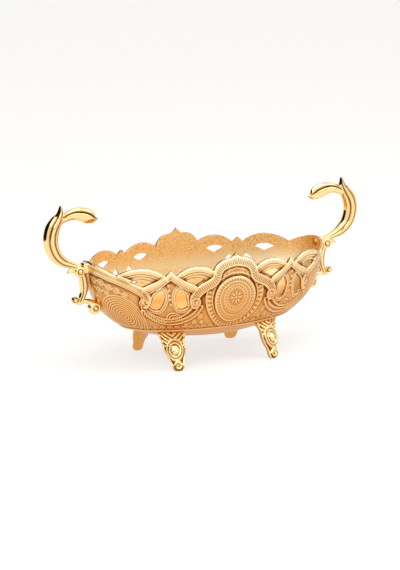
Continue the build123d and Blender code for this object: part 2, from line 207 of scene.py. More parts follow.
def near_line(line):
    """Distance of every grid point to a line of points, signed by side, and the length along
    the line to the nearest place on it."""
    best = np.full(RUN.shape, 1e9)
    signed, along = np.zeros(RUN.shape), np.zeros(RUN.shape)
    length = 0.0
    for (ax, ay), (bx, by) in zip(line[:-1], line[1:]):
        ux, uy = bx - ax, by - ay
        size = math.hypot(ux, uy) + 1e-9
        t = np.clip(((RUN - ax) * ux + (HEIGHT - ay) * uy) / size**2, 0, 1)
        dx, dy = RUN - ax - t * ux, HEIGHT - ay - t * uy
        distance = np.hypot(dx, dy)
        closer = distance < best
        best[closer] = distance[closer]
        signed[closer] = (distance * np.sign(ux * dy - uy * dx))[closer]
        along[closer] = (length + t * size)[closer]
        length += size
    return signed, along


def outside_of(outline):
    """Signed distance to a closed outline, negative inside it, where a point is inside when a
    ray from it crosses the outline an odd number of times."""
    closed = np.vstack([outline, outline[:1]])
    distance = np.abs(near_line(closed)[0])
    inside = np.zeros(RUN.shape, bool)
    for (ax, ay), (bx, by) in zip(closed[:-1], closed[1:]):
        spans = (ay > HEIGHT) != (by > HEIGHT)
        cross = ax + (HEIGHT - ay) / (by - ay + 1e-12) * (bx - ax)
        inside ^= spans & (RUN < cross)
    return np.where(inside, -distance, distance)


def fan_outline(centre):
    """A small fan with its point down, under the crown of an arch."""
    top, half, deep = arch_crown_height - 9.0, 7.8, 6.6
    left, right = (centre - half, top - 0.38 * deep), (centre + half, top - 0.38 * deep)
    return np.vstack([arc(left, (centre, top), right, 16), [(centre, top - deep)]])


def window_outline(side):
    """One of the two windows beside the waisted strut of a gable."""
    sill, tall, wide = 55.0, 18.4, 9.5
    near, middle = spire_tip[0] + side * 4.2, sill + tall / 2
    points = [
        (near + side * 2.8, sill + tall),
        (near + side * 0.2, sill + tall - 5.0),
        (near + side * 0.6, middle - 2.2),
        (near + side * 4.2, sill),
        (near + side * (wide + 0.9), sill + 2.0),
        (near + side * wide, middle - 1.0),
        (near + side * (wide - 0.8), middle + 3.4),
    ]
    return smooth_line(points + points[:1], 48)[:-1]


fans = [unroll(fan_outline(x)) for x in (inner_crown[0], outer_crown[0])]
windows = [unroll(window_outline(side)) for side in (-1, 1)]
from_fans = np.minimum(*(outside_of(o) for o in fans))
from_windows = np.minimum(*(outside_of(o) for o in windows))
below_rim = np.interp(RUN, rim_run, rim_height) - HEIGHT
metal = np.minimum(below_rim, np.minimum(from_fans, from_windows))


def soft_step(value, soft=0.25):
    """Nought below zero and one above it, with a rounded step as wide as soft."""
    return 0.5 + 0.5 * np.tanh(value / soft)


def bump(distance, width):
    """A rounded ridge of that half width about distance zero."""
    return np.exp(-((distance / width) ** 2))


def waves(turns):
    """A wave between nought and one, with a crest at every whole number."""
    return 0.5 + 0.5 * np.cos(TURN * turns)


def about(run, height):
    """Distance and angle of every grid point about a place on the wall."""
    dx, dy = RUN - run, HEIGHT - height
    return np.hypot(dx, dy), np.arctan2(dy, dx)


def band(line, half, pitch, ridge, lip, floor):
    """A raised band along a line: a flat floor, a rounded lip on each edge and cross ridges."""
    signed, along = near_line(line)
    d = np.abs(signed)
    lips = bump(d - half + 0.75, 0.5)
    ridges = waves(along / pitch) * soft_step(half - 1.7 - d, 0.25)
    return soft_step(half - d, 0.22) * (floor + lip * lips + ridge * ridges)


def hem(line, half, pitch, floor, knurl):
    """A flat band along a line, with a row of short ridges inside its outer edge, which is on
    the left of the line, and a fine groove inside the inner one."""
    signed, along = near_line(line)
    inset = half - signed
    row = waves(along / pitch) * soft_step(inset - 0.7, 0.2) * soft_step(2.9 - inset, 0.2)
    groove = 0.45 * bump(half - 1.1 + signed, 0.4)
    return soft_step(half - np.abs(signed), 0.22) * (floor + knurl * row - groove)


def curl(centre, radius, pitch, hand):
    """A spiral scroll: the height is a ridge where the radius over the pitch less the turn is
    whole, and it fades at the scroll's radius."""
    r, turn = about(*centre)
    wave = r / pitch - hand * turn / (TURN)
    return bump((wave - np.round(wave)) * pitch, 0.42) * soft_step(radius - r, 0.4)


def leaf(centre, length, width, lean):
    """A small pointed leaf with a midrib, its height falling off to both tips."""
    dx, dy = RUN - centre[0], HEIGHT - centre[1]
    c, s = math.cos(lean), math.sin(lean)
    along, across = (dx * c + dy * s) / length, (-dx * s + dy * c) / width
    return np.clip(1 - along**2 - np.abs(across), 0, 1) * (1 - 0.5 * bump(across, 0.18))


def mirrored(points):
    """A line that starts at the middle of a side, with its mirror image before it."""
    points = np.array(points)
    return np.vstack([points[:0:-1] * [-1, 1], points])


# Relief of the wall, as a height in millimetres over the quarter grid. The bands lap each other
# as cast strapwork does, so each is laid over the last with the greater height.
hood_half_band = 3.9
hood_line = mirrored(smooth_line(unroll([
    (0, 93.6), (6.0, 92.0), (12.5, 89.6), (16.6, 84.9), (17.9, 80.0), (20.0, 77.2), (24.6, 74.6),
    (30.4, 71.6), (34.8, 67.6), (37.2, 63.0), (36.4, 58.6),
])))
arch_inset = (0, 2.6)
arch_lines = [
    unroll(arc(hood_valley, inner_crown, (inner_arch_end, spire_valley_height)) - arch_inset),
    unroll(arc((outer_arch_start, spire_valley_height), outer_crown, outer_valley) - arch_inset),
]
end_edge = [(quarter_run, end_crown_height - 4.0), (quarter_run - 13, 87.2), (quarter_run - 24, 83.9)]
end_line = smooth_line(end_edge + list(unroll([
    (95.5, 81.4), (88.5, 77.6), (82.0, 73.6), (77.4, 69.6), (75.4, 65.0), (76.2, 60.6),
])))
end_line = np.vstack([end_line[::-1], end_line[1:] * [-1, 1] + [2 * quarter_run, 0]])
roof_lines = [
    unroll([(37.0, 71.6), (47.0, 77.0), (spire_tip[0], 84.6)]),
    unroll([(spire_tip[0], 84.6), (66.8, 77.0), (77.0, 71.8)]),
]
swag_line = smooth_line(unroll([
    (31.0, 56.0), (35.0, 49.5), (42.0, 44.6), (50.0, 42.2), (57.5, 42.6), (65.0, 45.8), (72.0, 51.4),
    (76.5, 57.0),
]))

comb_line = smooth_line(unroll([(57.0, 43.2), (62.0, 44.4), (67.0, 46.9), (71.0, 49.4), (75.6, 53.4)]))
comb_signed, comb_along = near_line(comb_line)
comb_pitch, comb_half = 2.1, 2.5
comb = waves((comb_along - 0.5 * comb_signed) / comb_pitch) * soft_step(comb_half - np.abs(comb_signed))
under_line = smooth_line(unroll([
    (36.0, 58.6), (42.0, 51.0), (50.0, 46.4), (57.7, 46.2), (63.5, 48.0), (69.4, 51.2), (76.0, 57.0),
]))
hood_inner = bump(near_line(hood_line)[0] + hood_half_band + 2.4, 0.6) * soft_step(HEIGHT - 74.0, 1.0)
layers = [
    0.55 * band(swag_line, 2.4, 1.5, ridge=0.0, lip=0.8, floor=0.3),
    0.75 * comb,
    0.55 * bump(near_line(under_line)[0], 0.6),
    hem(end_line, 4.3, 1.45, floor=0.7, knurl=0.715),
    1.1 * band(hood_line, hood_half_band, 1.85, ridge=0.42, lip=0.5, floor=0.5),
    0.5 * hood_inner,
]
layers += [hem(line, 3.3, 1.35, floor=0.5, knurl=0.52) for line in arch_lines]
layers += [hem(line, 3.1, 1.3, floor=0.8, knurl=0.39) for line in roof_lines]
strapwork = np.maximum.reduce(layers)

# The medallion under the hood: a domed disc with a rosette, rings and a bead border, in a ring
# of flutes.
disc_height, disc_radius = 59.8, 20.5
ring_height, ring_radius = 61.0, 28.6
rose_height = 62.2
disc_r, _ = about(0.0, disc_height)
ring_r, ring_turn = about(0.0, ring_height)
rose_r, rose_turn = about(0.0, rose_height)
ring_share, rose_share = ring_turn / TURN, rose_turn / TURN
flutes = waves(42 * ring_share) * bump(ring_r - 25.4, 1.9) * soft_step(75.0 - HEIGHT, 1.2)
ring_edges = 0.35 * bump(ring_r - 28.0, 0.5) + 0.3 * bump(ring_r - 22.4, 0.5)
medallion = soft_step(ring_radius - ring_r, 0.25) * (0.25 + 0.34 * flutes + ring_edges)
disc = 0.7 + 0.5 * np.clip(1 - (disc_r / disc_radius) ** 2, 0, 1)
# Each row: height, distance, radius, half width, and how many beads, where there are any.
for high, r, radius, width, beads in (
    (0.1, disc_r, 19.5, 0.7, 0), (0.4, disc_r, 19.5, 0.7, 58 * ring_share), (0.3, ring_r, 15.0, 0.45, 0),
    (0.22, ring_r, 17.3, 1.1, 40 * ring_share), (0.3, rose_r, 11.2, 0.4, 0), (0.22, rose_r, 8.2, 0.35, 0),
    (0.26, rose_r, 9.7, 0.7, 24 * rose_share), (0.2, rose_r, 13.0, 1.2, 12 * rose_share + 4 * rose_r / TURN),
    (-0.06, rose_r, 3.0, 1.6, 0), (0.66, rose_r, 3.0, 1.6, 8 * rose_share), (0.5, rose_r, 0.0, 0.9, 0),
):
    disc += high * waves(beads) * bump(r - radius, width)
raised = np.maximum(medallion, soft_step(disc_radius - disc_r) * disc)
medallion = np.where(disc_r < disc_radius + 0.5, raised, medallion)

# Ground ornament: scrolls and leaves in the hood, on the gables and on the end panels, a row of
# little arches over the ridge line, and the big shell of arcs low on each end panel.
side_scrolls = (
    (6.0, 84.6, 2.6, 1), (11.0, 81.6, 2.2, -1), (2.0, 82.4, 2.0, -1), (30.0, 47.6, 2.6, 1),
    (33.6, 42.0, 2.4, -1), (27.0, 41.0, 2.0, 1), (24.5, 36.6, 1.8, -1), (39.0, 38.6, 2.2, 1),
)
panel_scrolls = (
    (-8.0, 79.0, 3.2, 1), (-15.5, 77.6, 3.0, -1), (-22.5, 74.6, 3.0, 1), (-29.0, 71.6, 2.8, -1),
    (-35.5, 68.4, 2.6, 1), (-4.0, 71.5, 2.6, -1), (-11.5, 71.0, 2.8, 1), (-19.5, 69.0, 2.4, -1),
)
layers = [0.5 * curl(unroll([(x, z)])[0], radius, 1.5, hand) for x, z, radius, hand in side_scrolls]
for back, z, radius, hand in panel_scrolls:
    run = quarter_run + back
    layers.append(0.45 * curl((run, z), radius, 1.6, hand))
    layers.append(0.5 * leaf((run + 3.6, z + 1.6), 2.6, 1.0, 0.6 * hand))
shell_pitch, shell_radius = 2.05, 19.6
shell_r, _ = about(quarter_run - 27.0, 49.0)
layers.append(0.28 * waves(shell_r / shell_pitch) * soft_step(shell_radius - shell_r, 0.4))
arch_pitch, arch_foot = 7.6, 35.0
arch_r = np.hypot((RUN + arch_pitch / 2) % arch_pitch - arch_pitch / 2, HEIGHT - arch_foot)
little_arches = 0.45 * (bump(arch_r - 3.0, 0.4) + bump(arch_r - 1.5, 0.35))
layers.append(little_arches * soft_step(HEIGHT - arch_foot + 0.4) * soft_step(quarter_run - 20 - RUN, 2))
ground = np.maximum.reduce(layers)

# The gable's strut with its column of beads, the frames round the windows, and the arcs below it.
strut_run = run_of_x(np.array(spire_tip[0]), np.array(64.0))
frames = 0.62 * bump(from_windows - 0.9, 0.55) + 0.4 * bump(from_windows - 2.9, 0.35)
for z in (76.4, 72.0, 67.6, 64.2, 59.6):
    frames += 0.7 * bump(about(strut_run, z)[0], 0.75)
under_height = 44.5
under_r, _ = about(strut_run, under_height)
arcs = sum(bump(under_r - r, 0.45) for r in (3.0, 5.2, 7.4))
frames += 0.5 * arcs * soft_step(HEIGHT - under_height + 0.5) * soft_step(8.4 - under_r)
layers = []
for place, radius, hand in (((35.4, 60.8), 4.6, 1), ((75.0, 62.6), 4.4, -1)):
    centre = unroll([place])[0]
    r, _ = about(*centre)
    layers.append(soft_step(radius - r) * (0.8 + 0.5 * curl(centre, radius, 2.6, hand)))
    layers.append(2.1 * bump(r, 1.25))
volutes = np.maximum.reduce(layers)
ridge_line = 0.9 * bump(HEIGHT - ridge_height - 0.5, 0.6)

relief = np.maximum.reduce([ground, frames, medallion, strapwork, volutes, ridge_line])
relief *= 0.35 + 0.65 * soft_step(metal - 0.35, 0.3)
edge_round, edge_drop, flat_shade = 0.9, 0.75, 0.5
relief -= edge_drop * (1 - np.sqrt(1 - np.clip(1 - metal / edge_round, 0, 1) ** 2 * 0.98))


def blurred(field, passes):
    """The field after that many passes of a 1-2-1 average both ways, with its edges held."""
    for _ in range(passes):
        padded = np.pad(field, 1, mode="edge")
        field = (padded[:-2, 1:-1] + 2 * padded[1:-1, 1:-1] + padded[2:, 1:-1]) / 4
        padded = np.pad(field, 1, mode="edge")
        field = (padded[1:-1, :-2] + 2 * padded[1:-1, 1:-1] + padded[1:-1, 2:]) / 4
    return field


# Painted shade and highlight for the outside's colour: the relief less its blur, so darker in the hollows and
# lighter on what stands proud, and darker still along the cut edges of the rim and the windows. A plain surface
# gets the middle value.
blur_passes, hollow_shade_gain, edge_dark = 14, 1.7, 0.3
hollow_shade = flat_shade + hollow_shade_gain * (relief - blurred(relief, blur_passes))
hollow_shade = np.clip(hollow_shade - edge_dark * bump(metal - 0.2, 0.7), 0, 1)

# The whole ring of the wall is the quarter four times over, mirrored at each middle.
ring = np.arange(4 * columns)
fold = np.concatenate([np.arange(columns), np.arange(columns, 0, -1)] * 2)
ring_turns = (ring // columns + np.where((ring // columns) % 2 == 0, 0, 1)) * (math.pi / 2)
ring_turns = ring_turns + np.where((ring // columns) % 2 == 0, 1, -1) * quarter_turns[fold]
skin, skin_normal = wall_surface(ring_turns[None, :], row_z[:, None])
outside = skin + skin_normal * relief[:, fold, None]
inside = skin - skin_normal * wall
across = np.roll(outside, -1, axis=1) - np.roll(outside, 1, axis=1)
up = np.gradient(outside, axis=0)
outside_normal = np.cross(across, up)
outside_normal /= np.linalg.norm(outside_normal, axis=-1, keepdims=True)


def quads(a, b, c, d):
    """Two triangles for every four corners, cut from the first corner to the third."""
    return np.vstack([np.column_stack([a, b, c]), np.column_stack([a, c, d])])


def clip_grid(field, points):
    """The part of a triangulated grid where the field is positive. Each triangle is cut where the field, taken
    as straight along its edges, is nought. Returns the kept values of every array in points, the triangles, and
    the loose edges along the cut."""
    index = np.arange(field.size).reshape(field.shape)
    a, b = index[:-1, :-1].ravel(), index[:-1, 1:].ravel()
    c, d = index[1:, 1:].ravel(), index[1:, :-1].ravel()
    triangles = quads(a, b, c, d)
    value, sliver = field.ravel().copy(), 0.02
    value[np.abs(value) < sliver] = sliver
    positive = value[triangles] > 0
    whole = triangles[positive.all(axis=1)]
    mixed = positive.any(axis=1) & ~positive.all(axis=1)
    triangles, positive = triangles[mixed], positive[mixed]
    lone = np.where(positive.sum(axis=1) == 1, positive.argmax(axis=1), (~positive).argmax(axis=1))
    order = (lone[:, None] + np.arange(3)) % 3
    p, q, r = np.take_along_axis(triangles, order, axis=1).T
    keys = np.sort(np.vstack([np.column_stack([p, q]), np.column_stack([p, r])]), axis=1)
    unique, place = np.unique(keys, axis=0, return_inverse=True)
    place = place.ravel()
    pq, pr = field.size + place[: len(p)], field.size + place[len(p):]
    one = value[p] > 0
    kept = [whole, np.column_stack([p, pq, pr])[one]]
    kept += [np.column_stack([pq, q, r])[~one], np.column_stack([pq, r, pr])[~one]]
    kept = np.vstack(kept)
    low, high = value[unique[:, 0]], value[unique[:, 1]]
    share = (low / (low - high))[:, None]
    arrays = []
    for values in points:
        flat = values.reshape(field.size, -1)
        cut = flat[unique[:, 0]] * (1 - share) + flat[unique[:, 1]] * share
        arrays.append(np.vstack([flat, cut]))
    used, kept = np.unique(kept, return_inverse=True)
    kept = kept.reshape(-1, 3)
    edges = np.vstack([kept[:, [0, 1]], kept[:, [1, 2]], kept[:, [2, 0]]])
    ids = np.sort(edges, axis=1)
    _, first, times = np.unique(ids, axis=0, return_index=True, return_counts=True)
    return [values[used] for values in arrays], kept, edges[first[times == 1]]


def new_mesh(name, places, triangles, normals=None, relief_shade=None):
    """A mesh piece from places in millimetres and triangles, with a normal per corner and a value of painted
    shade and highlight per place, which the materials turn into colour, where they are given."""
    mesh = bpy.data.meshes.new(name)
    mesh.vertices.add(len(places))
    mesh.vertices.foreach_set("co", (places * MM).astype(np.float32).ravel())
    mesh.loops.add(triangles.size)
    mesh.loops.foreach_set("vertex_index", triangles.astype(np.int32).ravel())
    mesh.polygons.add(len(triangles))
    mesh.polygons.foreach_set("loop_start", np.arange(0, triangles.size, 3, dtype=np.int32))
    mesh.update(calc_edges=True)
    mesh.polygons.foreach_set("use_smooth", np.ones(len(triangles), bool))
    if normals is not None:
        mesh.normals_split_custom_set(normals.reshape(-1, 3).astype(np.float32))
    if relief_shade is not None:
        attribute = mesh.attributes.new("relief_shade", "FLOAT", "POINT")
        attribute.data.foreach_set("value", relief_shade.astype(np.float32).ravel())
    mesh.validate()
    piece = bpy.data.objects.new(name, mesh)
    bpy.context.scene.collection.objects.link(piece)
    return piece


def smooth_normals(places, triangles):
    """One normal per place, the sum of the cross products of the triangles that meet there."""
    first, second, third = (places[triangles[:, corner]] for corner in range(3))
    cross = np.cross(second - first, third - first)
    total = np.zeros(places.shape)
    for corner in range(3):
        np.add.at(total, triangles[:, corner], cross)
    return total / (np.linalg.norm(total, axis=1, keepdims=True) + 1e-12)


def shell_piece(name, field, outer, outer_normal, inner, inner_normal, relief_shade):
    """A closed shell over the part of a grid where the field is positive: the outside, the
    inside turned over, and a strip along the cut that joins them. The count returned with it
    is that of the outside's triangles, and the inside has as many."""
    arrays = [outer, outer_normal, inner, inner_normal, relief_shade[..., None]]
    (out_place, out_normal, in_place, in_normal, out_shade), triangles, loose = clip_grid(field, arrays)
    count = len(out_place)
    places = np.vstack([out_place, in_place])
    a, b = loose.T
    strip = quads(b, a, a + count, b + count)
    lining = triangles[:, ::-1]
    rolled = 0.8 * smooth_normals(places, strip) + 0.6 * np.vstack([out_normal, -in_normal])
    rolled /= np.linalg.norm(rolled, axis=1, keepdims=True) + 1e-12
    corners = np.concatenate([out_normal[triangles], -in_normal[lining], rolled[strip]])
    shades = np.concatenate([out_shade.ravel(), np.full(count, flat_shade)])
    every = np.vstack([triangles, lining + count, strip])
    return new_mesh(name, places, every, corners, shades), len(triangles)


# The wall is cut into four pieces at the gables.
cut_x, cut_height = 57.0, 90.0
cut_column = int(round(run_of_x(np.array(cut_x), np.array(cut_height)) / quarter_run * columns))
spans = {
    "bowl_front": (-cut_column, cut_column),
    "bowl_right_end": (cut_column, 2 * columns - cut_column),
    "bowl_rear": (2 * columns - cut_column, 2 * columns + cut_column),
    "bowl_left_end": (2 * columns + cut_column, 4 * columns - cut_column),
}
bowl_pieces, skin_counts = [], []
for name, (first, last) in spans.items():
    take = np.arange(first, last + 1) % (4 * columns)
    piece, count = shell_piece(
        name, metal[:, fold[take]], outside[:, take], outside_normal[:, take],
        inside[:, take], skin_normal[:, take], hollow_shade[:, fold[take]],
    )
    bowl_pieces.append(piece)
    skin_counts.append(count)

# The bowl's plain base, from the ridge line down and in to the flat underside and floor.
base_columns, level_power = 240, 1.6
base_turns = around(base_columns)
base_levels = base_height + (ridge_height - base_height) * np.linspace(1, 0, 16) ** level_power
base_rows = [wall_surface(base_turns, np.full(base_columns, z)) for z in base_levels[:-1]]
shrink = np.linspace(1, 0.02, 12)[1:]


def closed_in(rows, level):
    """Rows of places, and after them the last row shrunk towards the middle, its height over a
    level falling off with the sixth power of its size."""
    edge = rows[-1]
    return rows + [edge * [s, s, 0] + [0, 0, level + (edge[0, 2] - level) * s**6] for s in shrink]


def closed_rings(rings):
    """Triangles over rings of equally many places, each joined to the next, and the last ring
    closed by a fan to its own middle."""
    count = len(rings[0])
    j = np.arange(count)
    k = (j + 1) % count
    last = (len(rings) - 1) * count
    places = np.vstack([*rings, rings[-1].mean(axis=0)])
    triangles = [quads(top + j, top + count + j, top + count + k, top + k) for top in range(0, last, count)]
    triangles.append(np.column_stack([last + j, np.full(count, len(places) - 1), last + k]))
    return places, np.vstack(triangles)


outer_places, outer_faces = closed_rings(closed_in([place for place, _ in base_rows], base_height))
inner_rows = closed_in([place - normal * wall for place, normal in base_rows], base_height + wall)
inner_places, inner_faces = closed_rings(inner_rows)
j = np.arange(base_columns)
k = (j + 1) % base_columns
shift = len(outer_places)
joint = quads(j, k, k + shift, j + shift)
base_places = np.vstack([outer_places, inner_places])
base_faces = np.vstack([outer_faces, inner_faces[:, ::-1] + shift, joint])
outer_smooth = smooth_normals(outer_places, outer_faces)
inner_smooth = smooth_normals(inner_places, inner_faces)
outer_smooth[:base_columns] = base_rows[0][1]
inner_smooth[:base_columns] = base_rows[0][1]
base_corner = np.concatenate([
    outer_smooth[outer_faces], -inner_smooth[inner_faces[:, ::-1]],
    np.broadcast_to([0.0, 0.0, 1.0], (len(joint), 3, 3)),
])
base_shade = np.full(len(base_places), flat_shade)
bowl_pieces.append(new_mesh("bowl_base", base_places, base_faces, base_corner, base_shade))
skin_counts.append(len(outer_faces))
for piece in bowl_pieces:
    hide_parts("bowl")
    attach(piece, body)


def linear(code):
    """An sRGB hex colour as linear red, green, blue and alpha."""
    parts = [int(code[i: i + 2], 16) / 255 for i in (1, 3, 5)]
    return [p / 12.92 if p <= 0.04045 else ((p + 0.055) / 1.055) ** 2.4 for p in parts] + [1.0]


def add_node(tree, kind, inputs=(), stops=(), **settings):
    """Adds a node: settings are its properties, inputs maps the name or number of an input to
    its value or to the output that feeds it, and stops are the places and hex colours of a
    ramp."""
    node = tree.nodes.new(kind)
    for key, value in settings.items():
        setattr(node, key, value)
    for name, value in dict(inputs).items():
        if isinstance(value, bpy.types.NodeSocket):
            tree.links.new(value, node.inputs[name])
        else:
            node.inputs[name].default_value = value
    elements = node.color_ramp.elements if stops else ()
    while len(elements) < len(stops):
        elements.new(0.5)
    for element, (position, colour) in zip(elements, stops):
        element.position, element.color = position, linear(colour)
    return node


def new_material(name):
    """An empty node material and its tree."""
    material = bpy.data.materials.new(name)
    material.use_nodes = True
    material.node_tree.nodes.clear()
    return material, material.node_tree


# Rose gold plate on the casting: a satin metal, with a painted highlight, pale yellow, on what stands proud and
# painted shade, darker and redder, in the hollows and along the cut edges, from the shade value that each bowl
# piece carries. It is also painted darker and more orange low on the wall, painted shade that fades out by 92 mm
# high. Its clouds of tone are 26 mm wide. The mould's grain is drawn with 1.5 cells to the millimetre, coarser
# than it is, so that it shows.
satin, tree = new_material("rose gold plate, satin")
place = add_node(tree, "ShaderNodeTexCoord").outputs["Object"]
relief_shade = add_node(tree, "ShaderNodeAttribute", attribute_name="relief_shade")
tone = add_node(tree, "ShaderNodeValToRGB", {0: relief_shade.outputs["Fac"]}, [
    (0.08, "#74360E"), (0.26, "#B87638"), (0.44, "#E3B97E"), (0.6, "#F8E0AE"), (0.85, "#FFF8D8"),
])
cloud = add_node(tree, "ShaderNodeTexNoise", {"Vector": place, "Scale": 0.038 / MM, "Detail": 2.0})
warm = add_node(
    tree, "ShaderNodeMix", {0: cloud.outputs["Fac"], 6: tone.outputs["Color"], 7: linear("#FBECD4")},
    data_type="RGBA", blend_type="MULTIPLY",
)
apart = add_node(tree, "ShaderNodeSeparateXYZ", {0: place})
level = add_node(tree, "ShaderNodeMapRange", {0: apart.outputs["Z"], "From Min": 30 * MM, "From Max": 92 * MM})
# Painted shade: a colour that the plate is multiplied by, warmer and darker at 30 mm high and plain white from
# 92 mm up.
height_shade = add_node(tree, "ShaderNodeValToRGB", {0: level.outputs[0]}, [
    (0.0, "#F6D2A4"), (0.48, "#F4DAC2"), (0.73, "#F4E8DC"), (1.0, "#FFFFFF"),
])
shaded_colour = add_node(
    tree, "ShaderNodeMix", {0: 1.0, 6: warm.outputs[2], 7: height_shade.outputs["Color"]},
    data_type="RGBA", blend_type="MULTIPLY",
)
grain = add_node(tree, "ShaderNodeTexNoise", {"Vector": place, "Scale": 1.5 / MM, "Detail": 2.0}).outputs["Fac"]
pits = add_node(tree, "ShaderNodeBump", {"Height": grain, "Strength": 0.22, "Distance": 0.4 * MM})
rough = add_node(tree, "ShaderNodeMapRange", {0: grain, "To Min": 0.2, "To Max": 0.36})
shader = add_node(tree, "ShaderNodeBsdfPrincipled", {
    "Base Color": shaded_colour.outputs[2], "Roughness": rough.outputs[0], "Normal": pits.outputs[0], "Metallic": 1.0,
})
add_node(tree, "ShaderNodeOutputMaterial", {"Surface": shader.outputs[0]})

# The same plate over a shot-blasted inside: a coarser sparkling grain, deep orange near the rim; below that a
# painted highlight, pale cream, about 67 mm high, and painted shade, darker orange, lower down towards the
# floor. The blast's pits are drawn about a millimetre wide, coarser than they are, so that they show.
blasted, tree = new_material("rose gold plate, shot blasted")
place = add_node(tree, "ShaderNodeTexCoord").outputs["Object"]
grain = add_node(tree, "ShaderNodeTexNoise", {"Vector": place, "Scale": 0.95 / MM, "Detail": 3.0}).outputs["Fac"]
tone = add_node(tree, "ShaderNodeValToRGB", {0: grain}, [
    (0.38, "#FAB858"), (0.5, "#FFE098"), (0.62, "#FFF6CC"),
])
height = add_node(tree, "ShaderNodeSeparateXYZ", {0: place}).outputs["Z"]
low = add_node(
    tree, "ShaderNodeMapRange", {0: height, "From Min": 82 * MM, "From Max": 67 * MM},
    interpolation_type="SMOOTHSTEP",
)
level = add_node(tree, "ShaderNodeMapRange", {0: height, "From Min": 26 * MM, "From Max": 66 * MM})
# Painted highlight and shade by height: pale cream at 66 mm and above, darker orange at about 40 mm, a little
# lighter again at the floor.
highlight_and_shade = add_node(tree, "ShaderNodeValToRGB", {0: level.outputs[0]}, [
    (0.0, "#E9B878"), (0.35, "#C4884A"), (0.7, "#F2CC90"), (1.0, "#FFF6D0"),
])
tint = add_node(
    tree, "ShaderNodeMix", {0: low.outputs[0], 6: tone.outputs["Color"], 7: highlight_and_shade.outputs["Color"]},
    data_type="RGBA",
)
pits = add_node(tree, "ShaderNodeBump", {"Height": grain, "Strength": 0.7, "Distance": 0.7 * MM})
shader = add_node(tree, "ShaderNodeBsdfPrincipled", {
    "Base Color": tint.outputs[2], "Normal": pits.outputs[0], "Metallic": 1.0, "Roughness": 0.42,
})
add_node(tree, "ShaderNodeOutputMaterial", {"Surface": shader.outputs[0]})


def gilt(name, stops, cells_per_mm, roughness, pit_strength=0.0, pit_depth=0.4, by_painted_shade=False):
    """Gold plate in one finish: noise, or else the painted shade and highlight value that the mesh carries,
    colours it through a ramp, and the noise pits it, by a size in millimetres, where a strength is given."""
    material, tree = new_material(name)
    place = add_node(tree, "ShaderNodeTexCoord").outputs["Object"]
    grain = add_node(tree, "ShaderNodeTexNoise", {"Vector": place, "Scale": cells_per_mm / MM, "Detail": 2.0})
    source = add_node(tree, "ShaderNodeAttribute", attribute_name="relief_shade") if by_painted_shade else grain
    tone = add_node(tree, "ShaderNodeValToRGB", {0: source.outputs["Fac"]}, stops)
    inputs = {"Base Color": tone.outputs["Color"], "Metallic": 1.0, "Roughness": roughness}
    if pit_strength:
        pits = {"Height": grain.outputs["Fac"], "Strength": pit_strength, "Distance": pit_depth * MM}
        inputs["Normal"] = add_node(tree, "ShaderNodeBump", pits).outputs[0]
    shader = add_node(tree, "ShaderNodeBsdfPrincipled", inputs)
    add_node(tree, "ShaderNodeOutputMaterial", {"Surface": shader.outputs[0]})
    return material


# The rim and the edges of the windows, cut back with a file and buffed, so brighter and harder,
# with marks about 4 mm apart.
edge = gilt("rose gold plate, filed edge", [(0.3, "#C98E58"), (0.7, "#E9BE86")], 0.26, 0.14)

# The triangles of a bowl piece are those of its outside, then its inside, then its edge.
for piece, count in zip(bowl_pieces, skin_counts):
    for material in (satin, blasted, edge):
        piece.data.materials.append(material)
    slots = np.full(len(piece.data.polygons), 2, np.int32)
    slots[:count] = 0
    slots[count: 2 * count] = 1
    piece.data.polygons.foreach_set("material_index", slots)

# Feet. Four cast leaves in zinc alloy, each held by one screw from inside the bowl. They lean
# outwards with their faces turned to the corners. The face is buffed bright and has a beaded
# edge, rings round an oval boss, pleats above and a scroll at the toe; the back is plain.
toe_x, toe_y = 45.2, 38.4
foot_turn = math.radians(20)
foot_lean = 14.5
calf_half_width = 9.8
calf_depth = 4.6
foot_edge = 0.8
face_columns, rear_columns = 96, 40
boss_height = 17.4
boss_half_width, boss_half_height, boss_lean = 4.2, 5.6, -0.3
toe_scroll_height, ribbon_height, pleat_height = 4.6, 8.6, 21.5
foot_sink = 0.7

# Each row: height, lean, half width, and how far the front and the rear bulge, as shares.
foot_shares = [
    (0, 0, 0.27, 0.46, 0.41),
    (0.03, 0.01, 0.41, 0.63, 0.5),
    (0.11, 0.03, 0.53, 0.74, 0.54),
    (0.21, 0.08, 0.57, 0.72, 0.54),
    (0.34, 0.18, 0.64, 0.65, 0.52),
    (0.52, 0.35, 0.84, 0.84, 0.52),
    (0.68, 0.49, 0.96, 1.0, 0.58),
    (0.81, 0.6, 1.0, 0.98, 0.75),
    (0.93, 0.7, 0.99, 0.9, 1.15),
    (1.07, 0.83, 1.07, 0.86, 1.95),
    (1.22, 0.98, 1.24, 0.9, 2.7),
    (1.42, 1.12, 1.2, 0.5, 2.6),
]


def wall_height(x, y):
    """Height at which the wall's outside passes through a place in plan, found by halving."""
    low, high = np.full(x.shape, base_height), np.full(x.shape, shoulder_height)
    for _ in range(30):
        middle = (low + high) / 2
        out = (x / half_length(middle)) ** 2 + (y / half_width(middle)) ** 2 > 1
        low, high = np.where(out, middle, low), np.where(out, high, middle)
    return low


def lens_arc(half, bulge, count):
    """Points of a shallow arc from one side to the other: its half angle is twice the angle
    whose tangent is the bulge over the half width."""
    angle = 2 * np.arctan2(bulge, half)
    radius = half / np.sin(angle)
    s = np.linspace(1, -1, count)[None, :]
    return radius * np.sin(s * angle), radius * (np.cos(s * angle) - np.cos(angle)), s * half


